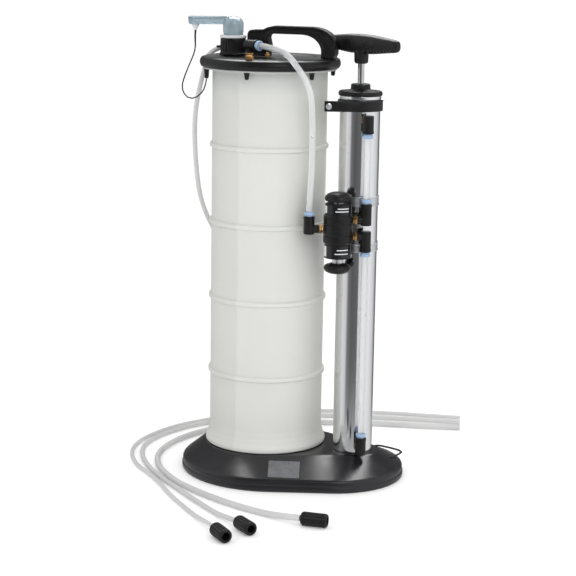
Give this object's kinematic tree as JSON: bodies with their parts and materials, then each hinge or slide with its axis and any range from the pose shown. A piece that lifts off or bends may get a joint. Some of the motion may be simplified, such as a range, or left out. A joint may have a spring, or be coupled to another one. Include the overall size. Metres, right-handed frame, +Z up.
{
  "type": "fluid transfer pump",
  "caption": "Hand-operated fluid transfer pump: a tall capped reservoir and an upright piston pump with a push-pull valve on a shared moulded base, with loose clear suction tubes.",
  "frame": {"origin": "on the floor, under the middle of the base's bounding box", "axes": "+Z up, +X from the reservoir towards the pump, the front with the valve faces -Y"},
  "size_m": [0.4178, 0.6687, 0.621],
  "materials": {
    "black_plastic": "satin moulded black",
    "base_plastic": "satin dark grey, slightly glossier than the fittings",
    "label_film": "smooth dark film, plain",
    "tank_plastic": "natural translucent blow-moulded polyethylene",
    "clear_tube": "translucent tubing",
    "clear_cap": "clear grey-blue",
    "white_rubber": "white, smooth",
    "black_rubber": "black, matt",
    "blue_plastic": "light blue release collars",
    "brass": "turned",
    "polished_aluminium": "drawn and polished",
    "chrome": "ground and plated",
    "zinc_steel": "zinc plated"
  },
  "bodies": {
    "frame": {"band_lower": "zinc_steel", "band_upper": "zinc_steel", "base": "base_plastic", "bottom_port_elbow": "black_plastic", "bottom_port_elbow_collar": "blue_plastic", "cap_tether": "black_rubber", "carry_handle": "black_plastic", "float_cage": "black_plastic", "hose_barb": "black_plastic", "hose_coil": "clear_tube", "hose_connector": "black_rubber", "label_plate": "label_film", "left_connector": "black_rubber", "left_suction_tube": "clear_tube", "lid": "black_plastic", "lid_elbow": "black_plastic", "lid_elbow_collar": "blue_plastic", "lid_gasket": "black_rubber", "lid_screw_1": "black_plastic", "lid_screw_2": "black_plastic", "lid_screw_3": "black_plastic", "lid_screw_4": "black_plastic", "lid_screw_5": "black_plastic", "lid_screw_6": "black_plastic", "lid_vent": "brass", "lower_pump_tube": "clear_tube", "main_hose": "clear_tube", "middle_connector": "black_rubber", "middle_suction_tube": "clear_tube", "neck_gasket": "white_rubber", "pickup_tube": "clear_tube", "pump_cap": "black_plastic", "pump_cylinder": "polished_aluminium", "reservoir": "tank_plastic", "right_connector": "black_rubber", "right_suction_tube": "clear_tube", "spout_neck": "black_plastic", "strap_clamp": "black_plastic", "strap_screw": "zinc_steel", "top_port_elbow": "black_plastic", "top_port_elbow_collar": "blue_plastic", "transfer_tube": "clear_tube", "upper_pump_tube": "clear_tube", "valve_body": "black_plastic", "valve_elbow_left": "black_plastic", "valve_elbow_left_collar": "blue_plastic", "valve_elbow_lower": "black_plastic", "valve_elbow_lower_collar": "blue_plastic", "valve_elbow_upper": "black_plastic", "valve_elbow_upper_collar": "blue_plastic", "valve_saddle": "black_plastic"},
    "plunger": {"piston": "black_rubber", "piston_rod": "chrome", "t_handle": "black_plastic"},
    "valve_shuttle": {"valve_spool": "zinc_steel", "valve_knob_bottom": "black_plastic", "valve_knob_top": "black_plastic"},
    "cap": {"spout_cap": "clear_cap", "tether_plug": "white_rubber"},
    "float": {"float_ball": "white_rubber"}
  },
  "joints": [
    {"name": "pump_stroke", "type": "slide", "parent": "frame", "child": "plunger", "axis": [0, 0, 1], "range_m": [0, 0.448]},
    {"name": "valve_shift", "type": "slide", "parent": "frame", "child": "valve_shuttle", "axis": [0, 0, 1], "range_m": [-0.0018, 0.007]},
    {"name": "cap_lift", "type": "slide", "parent": "frame", "child": "cap", "axis": [0, 0, 1], "range_m": [0, 0.03]},
    {"name": "float_rise", "type": "slide", "parent": "frame", "child": "float", "axis": [0, 0, 1], "range_m": [0, 0.0165]}
  ]
}
